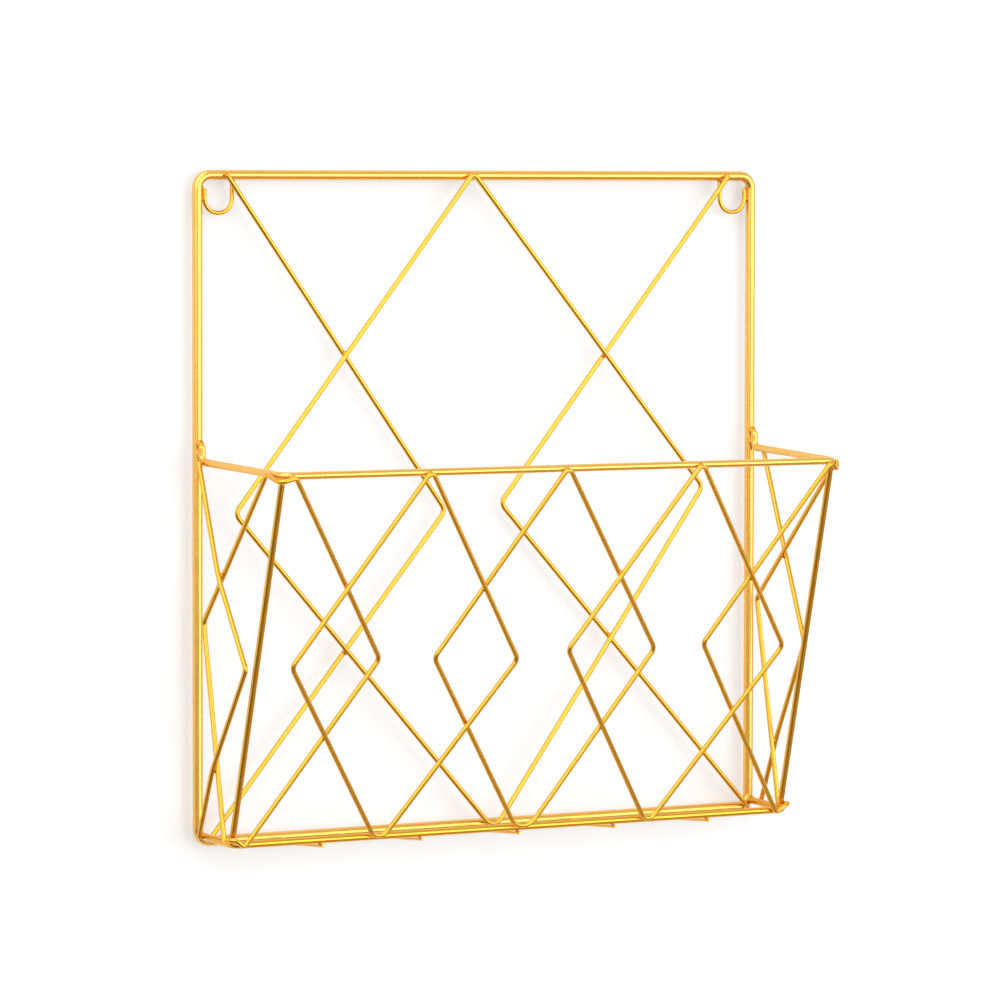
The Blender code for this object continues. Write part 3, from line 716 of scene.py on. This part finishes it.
def bead_tree():
    """Sets a squeezed bead of weld metal on every point, turned to the two wires that meet there."""
    tree, identifiers = tree_with_inputs(
        "weld_beads", {"Length": "Float", "Width": "Float", "Height": "Float", "Lump Size": "Float",
                       "Lump Height": "Float", "Seed": "Int", "Finish": "Material"})
    given = add(tree, "NodeGroupInput")
    ball = add(tree, "GeometryNodeMeshIcoSphere", {"Radius": 1.0, "Subdivisions": BEAD_FINENESS})
    across = add(tree, "GeometryNodeInputNamedAttribute", {"Name": "across"}, data_type="FLOAT_VECTOR")
    heading = add(tree, "GeometryNodeInputNamedAttribute", {"Name": "heading"}, data_type="FLOAT_VECTOR")
    turned = add(tree, "FunctionNodeAxesToRotation", primary_axis="Z", secondary_axis="X",
                 inputs={"Primary Axis": across.outputs[0], "Secondary Axis": heading.outputs[0]})
    size = add(tree, "ShaderNodeCombineXYZ",
               {"X": given.outputs["Length"], "Y": given.outputs["Width"], "Z": given.outputs["Height"]})
    girth = add(tree, "GeometryNodeInputNamedAttribute", {"Name": "girth"})
    chance = add(tree, "FunctionNodeRandomValue",
                 {RANDOM_LEAST: BEAD_SPREAD[0], RANDOM_MOST: BEAD_SPREAD[1], "Seed": given.outputs["Seed"]})
    share = add(tree, "ShaderNodeMath", operation="MULTIPLY",
                inputs={0: girth.outputs[0], 1: chance.outputs[RANDOM_RESULT]})
    scale = add(tree, "ShaderNodeVectorMath", operation="SCALE",
                inputs={0: size.outputs[0], "Scale": share.outputs[0]})
    beads = add(tree, "GeometryNodeInstanceOnPoints",
                {"Points": given.outputs["Geometry"], "Instance": ball.outputs[0],
                 "Rotation": turned.outputs[0], "Scale": scale.outputs[0]})
    real = add(tree, "GeometryNodeRealizeInstances", {"Geometry": beads.outputs[0]})
    place = add(tree, "GeometryNodeInputPosition")
    fineness = add(tree, "ShaderNodeMath", {0: 1.0, 1: given.outputs["Lump Size"]}, operation="DIVIDE")
    lumps = add(tree, "ShaderNodeTexNoise",
                {"Vector": place.outputs[0], "Scale": fineness.outputs[0], "Detail": 1.0})
    centred = add(tree, "ShaderNodeMath", {0: lumps.outputs["Fac"], 1: 0.5}, operation="SUBTRACT")
    lift = add(tree, "ShaderNodeMath", {0: centred.outputs[0], 1: given.outputs["Lump Height"]},
               operation="MULTIPLY")
    normal = add(tree, "GeometryNodeInputNormal")
    offset = add(tree, "ShaderNodeVectorMath", operation="SCALE",
                 inputs={0: normal.outputs[0], "Scale": lift.outputs[0]})
    uneven = add(tree, "GeometryNodeSetPosition", {"Geometry": real.outputs[0], "Offset": offset.outputs[0]})
    end_tree(tree, uneven.outputs[0], given.outputs["Finish"])
    return tree, identifiers


def grown(name, points, edges, values, made_by, sizes):
    """A plain mesh piece that a tree makes from points, edges and the values on the points."""
    tree, identifiers = made_by
    start = bpy.data.meshes.new(name)
    start.from_pydata(points, edges, [])
    for attribute, numbers in values.items():
        if isinstance(numbers[0], Vector):
            layer = start.attributes.new(attribute, "FLOAT_VECTOR", "POINT")
            layer.data.foreach_set("vector", [part for number in numbers for part in number])
        else:
            start.attributes.new(attribute, "FLOAT", "POINT").data.foreach_set("value", numbers)
    piece = bpy.data.objects.new(name, start)
    bpy.context.scene.collection.objects.link(piece)
    modifier = piece.modifiers.new(tree.name, "NODES")
    modifier.node_group = tree
    for size, value in sizes.items():
        modifier[identifiers[size]] = value
    evaluated = piece.evaluated_get(bpy.context.evaluated_depsgraph_get())
    finished = bpy.data.meshes.new_from_object(evaluated)
    piece.modifiers.clear()
    piece.data = finished
    bpy.data.meshes.remove(start)
    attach(piece, "root")
    return piece


def touching(line, other, reach):
    """The places where two finely stepped lines come within reach, as pairs of indices, nearest first."""
    lows = [min(point[axis] for point in other) - reach for axis in range(3)]
    highs = [max(point[axis] for point in other) + reach for axis in range(3)]
    near = [index for index, point in enumerate(line)
            if all(low < part < high for low, part, high in zip(lows, point, highs))]
    if not near:
        return []
    lookup = KDTree(len(other))
    for index, point in enumerate(other):
        lookup.insert(point, index)
    lookup.balance()
    found = []
    for index in near:
        _, other_index, gap = lookup.find(line[index])
        if gap < reach:
            found.append((gap, index, other_index))
    chosen = []
    for _, index, other_index in sorted(found):
        if all((line[index] - line[taken]).length > WELD_SPACING for taken, _ in chosen):
            chosen.append((index, other_index))
    return chosen


def direction_at(line, index):
    """The way a finely stepped line runs at one of its points."""
    return (line[min(index + 1, len(line) - 1)] - line[max(index - 1, 0)]).normalized()


def find_welds(wires):
    """A weld wherever two wires touch: its middle, the way across it, its heading and the thinner wire.

    Its middle lies between two wires that pass, on the wire that an end butts, and else on the first wire.
    """
    names = list(wires)
    fine = {name: stepped(line, closed, WELD_SEARCH) for name, (line, _, closed) in wires.items()}
    welds = []
    for place, name in enumerate(names):
        for other in names[place + 1:]:
            girth, other_girth = wires[name][1], wires[other][1]
            reach = (girth + other_girth) / 2 + WELD_REACH
            for index, other_index in touching(fine[name], fine[other], reach):
                start, end = fine[name][index], fine[other][other_index]
                across = (end - start).normalized()
                spare = (end - start).length - (girth + other_girth) / 2
                if spare > -WELD_GAP:
                    middle = start + across * (girth + spare) / 2
                elif index in (0, len(fine[name]) - 1):
                    middle = end - across * other_girth / 2
                else:
                    middle = start + across * girth / 2
                first, second = direction_at(fine[name], index), direction_at(fine[other], other_index)
                if first.dot(second) < 0:
                    second = -second
                welds.append((middle, across, (first + second).normalized(), min(girth, other_girth)))
    return welds


def make_wire(name, line, diameter, closed, welds, made_by, finish):
    """One round wire in place of its CAD node, its cut ends eased and its plating dulled near the welds."""
    points = stepped(line, closed, RUN_STEP)
    girths = [1.0] * len(points)
    if not closed:
        for end, inner in ((0, 1), (-1, -2)):
            inward = (points[inner] - points[end]).normalized() * diameter
            eased = [points[end] + inward * depth for depth, _ in CUT_END[1:]]
            shares = [share for _, share in CUT_END[1:]]
            girths[end] = CUT_END[0][1]
            if end == 0:
                points[1:1], girths[1:1] = eased, shares
            else:
                points[-1:-1], girths[-1:-1] = eased[::-1], shares[::-1]
    count = len(points)
    edges = [(index, (index + 1) % count) for index in range(count if closed else count - 1)]
    heats = [math.exp(-(welds.find(point)[2] / WELD_HEAT) ** 2) for point in points]
    piece = grown(name + "_wire", points, edges, {"girth": girths, "heat": heats}, made_by,
                  {"Diameter": diameter, "Facets": WIRE_FACETS, "Finish": finish})
    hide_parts(name)


def make_rack():
    """Every wire of the rack and all its welds."""
    wires = wire_lines()
    welds = find_welds(wires)
    lookup = KDTree(len(welds))
    for index, weld in enumerate(welds):
        lookup.insert(weld[0], index)
    lookup.balance()
    swept = wire_tree()
    # The frame and rim take a paler copy of the same plating: a painted sheen for their paler, whiter
    # reflections
    painted_sheen_finish = gold_plated_wire("gold_plated_steel_wire_with_painted_sheen", PAINTED_SHEEN_GOLD)
    deep_finish = gold_plated_wire("deep_gold_plated_steel_wire", DEEP_GOLD)
    for name, (line, diameter, closed) in wires.items():
        finish = painted_sheen_finish if name in PAINTED_SHEEN_WIRES else deep_finish
        make_wire(name, line, diameter, closed, lookup, swept, finish)
    middles, acrosses, headings, girths = (list(column) for column in zip(*welds))
    grown("weld_beads", middles, [], {"across": acrosses, "heading": headings, "girth": girths}, bead_tree(),
          {"Length": BEAD_LENGTH, "Width": BEAD_WIDTH, "Height": BEAD_HEIGHT, "Lump Size": WELD_LUMP,
           "Lump Height": WELD_LUMP_HEIGHT, "Seed": BEAD_SEED, "Finish": gold_plated_weld()})


def add_camera():
    """The photograph's view."""
    level = Vector((math.cos(CAMERA_YAW), -math.sin(CAMERA_YAW), 0))
    ahead = Vector((math.sin(CAMERA_YAW), math.cos(CAMERA_YAW), 0)) * math.cos(CAMERA_PITCH)
    ahead.z = -math.sin(CAMERA_PITCH)
    above = level.cross(ahead)
    right = level * math.cos(CAMERA_ROLL) + above * math.sin(CAMERA_ROLL)
    up = above * math.cos(CAMERA_ROLL) - level * math.sin(CAMERA_ROLL)
    camera = bpy.data.objects.new("photo_camera", bpy.data.cameras.new("photo_camera"))
    camera.data.lens = CAMERA_LENS_MM
    camera.data.sensor_width = CAMERA_SENSOR_MM
    facing = Matrix((right, up, -ahead)).transposed().to_4x4()
    camera.matrix_world = Matrix.Translation(CAMERA_PLACE) @ facing
    bpy.context.scene.collection.objects.link(camera)
    bpy.context.scene.camera = camera


def flat_stage(name, corners, finish):
    """A flat stage surface through its corners, facing the way they turn."""
    mesh = bpy.data.meshes.new(name)
    mesh.from_pydata(corners, [], [range(len(corners))])
    mesh.materials.append(finish)
    surface = bpy.data.objects.new(name, mesh)
    bpy.context.scene.collection.objects.link(surface)


def matt_paint(name, code, glow=0.0):
    """Matt paint, clear from behind. A glow lifts it towards white, for the eye and for reflections."""
    material = bpy.data.materials.new(name)
    material.use_nodes = True
    tree = material.node_tree
    shader = tree.nodes["Principled BSDF"]
    shader.inputs["Base Color"].default_value = linear(code)
    shader.inputs["Roughness"].default_value = PAINT_ROUGHNESS
    shader.inputs["Specular IOR Level"].default_value = PAINT_SPECULAR
    if glow:
        shader.inputs["Emission Color"].default_value = linear(WHITE)
        path = add(tree, "ShaderNodeLightPath")
        seen = path.outputs["Is Camera Ray"]
        for ray in ("Is Glossy Ray", "Is Transmission Ray"):
            either = add(tree, "ShaderNodeMath", {0: seen, 1: path.outputs[ray]}, operation="MAXIMUM")
            seen = either.outputs[0]
        strength = add(tree, "ShaderNodeMath", {0: seen, 1: glow}, operation="MULTIPLY")
        tree.links.new(strength.outputs[0], shader.inputs["Emission Strength"])
    side = add(tree, "ShaderNodeNewGeometry")
    clear = add(tree, "ShaderNodeBsdfTransparent")
    mixed = add(tree, "ShaderNodeMixShader",
                {0: side.outputs["Backfacing"], 1: shader.outputs[0], 2: clear.outputs[0]})
    tree.links.new(mixed.outputs[0], tree.nodes["Material Output"].inputs["Surface"])
    return material


def add_stage():
    """A white wall behind the rack and a pale floor far below it."""
    wall_left, wall_right = WALL_SPAN
    wall_foot = [(wall_left, WALL_Y, FLOOR_Z), (wall_right, WALL_Y, FLOOR_Z)]
    wall_top = [(wall_right, WALL_Y, WALL_TOP), (wall_left, WALL_Y, WALL_TOP)]
    wall_paint = matt_paint("matt_white_wall_paint", WALL_PAINT, WALL_GLOW)
    flat_stage("wall", wall_foot + wall_top, wall_paint)
    floor_left, floor_right = FLOOR_SPAN
    floor_front = [(floor_left, FLOOR_FRONT, FLOOR_Z), (floor_right, FLOOR_FRONT, FLOOR_Z)]
    floor_back = [(floor_right, WALL_Y, FLOOR_Z), (floor_left, WALL_Y, FLOOR_Z)]
    floor_paint = matt_paint("matt_pale_floor_paint", FLOOR_PAINT)
    flat_stage("floor", floor_front + floor_back, floor_paint)


def add_softbox(name, place, width, height, power):
    """A soft white rectangular lamp that shines from its place at the rack."""
    light = bpy.data.lights.new(name, "AREA")
    light.shape = "RECTANGLE"
    light.size = width
    light.size_y = height
    light.energy = power
    lamp = bpy.data.objects.new(name, light)
    lamp.location = place
    lamp.rotation_euler = (LAMP_AIM - Vector(place)).to_track_quat("-Z", "Y").to_euler()
    lamp.visible_camera = False
    bpy.context.scene.collection.objects.link(lamp)


def add_light():
    """Soft studio light, and a plain surround that is pale above the horizon and grey below it."""
    for name, softbox in SOFTBOXES.items():
        add_softbox(name, **softbox)
    world = bpy.data.worlds.new("studio")
    bpy.context.scene.world = world
    world.use_nodes = True
    tree = world.node_tree
    towards = add(tree, "ShaderNodeTexCoord")
    rise = add(tree, "ShaderNodeSeparateXYZ", {0: towards.outputs["Generated"]})
    level = add(tree, "ShaderNodeMapRange",
                {"Value": rise.outputs["Z"], "From Min": SURROUND_RISE[0], "From Max": SURROUND_RISE[1],
                 "To Min": SURROUND_LOW, "To Max": SURROUND_HIGH})
    background = tree.nodes["Background"]
    background.inputs["Color"].default_value = linear(WHITE)
    tree.links.new(level.outputs[0], background.inputs["Strength"])


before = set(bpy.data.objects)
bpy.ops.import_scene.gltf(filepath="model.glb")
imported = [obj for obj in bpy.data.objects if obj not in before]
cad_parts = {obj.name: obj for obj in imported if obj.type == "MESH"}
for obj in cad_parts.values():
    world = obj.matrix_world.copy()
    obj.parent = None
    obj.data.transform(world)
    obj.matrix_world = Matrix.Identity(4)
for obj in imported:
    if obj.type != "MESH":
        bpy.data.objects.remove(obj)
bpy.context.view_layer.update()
bpy.context.scene.view_settings.view_transform = "Standard"
add_camera()
make_rack()
add_stage()
add_light()
